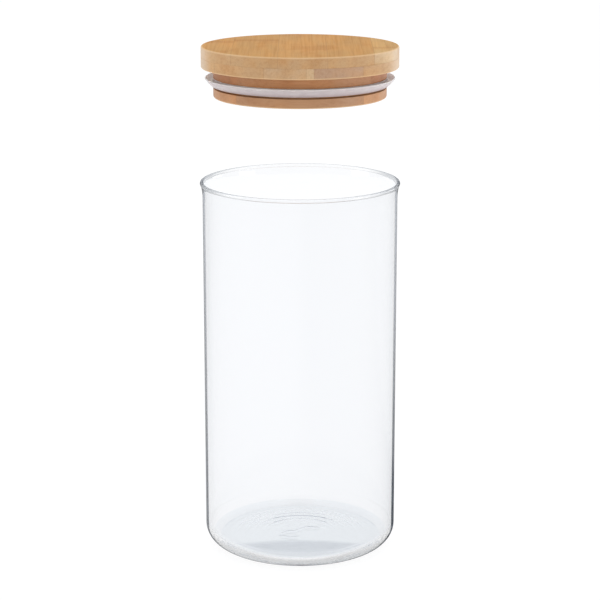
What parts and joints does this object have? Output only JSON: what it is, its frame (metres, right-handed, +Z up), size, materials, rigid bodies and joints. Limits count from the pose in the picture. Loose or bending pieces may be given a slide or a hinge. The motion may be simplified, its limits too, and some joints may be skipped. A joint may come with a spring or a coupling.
{
  "type": "food canister",
  "caption": "Tall round glass storage jar with a rounded foot and beaded rim, and a bamboo plug lid with a silicone lip seal that lifts straight off.",
  "frame": {"origin": "centre of the jar's foot, on the surface that it stands on", "axes": "+Z up along the axis that the jar and the lid share; the object is round about it, so +X and +Y are free"},
  "size_m": [0.0998, 0.0998, 0.2565],
  "materials": {
    "clear_glass": "clear, fire-polished rim",
    "bamboo": "sanded and thinly oiled",
    "silicone": "translucent, soft sheen"
  },
  "bodies": {
    "jar": {"glass_jar": "clear_glass"},
    "lid": {"lid_disc": "bamboo", "lid_plug": "bamboo", "seal_ring": "silicone"}
  },
  "joints": [
    {"name": "lid_lift", "type": "slide", "parent": "jar", "child": "lid", "axis": [0, 0, 1], "range_m": [-0.0567, 0.01]}
  ]
}
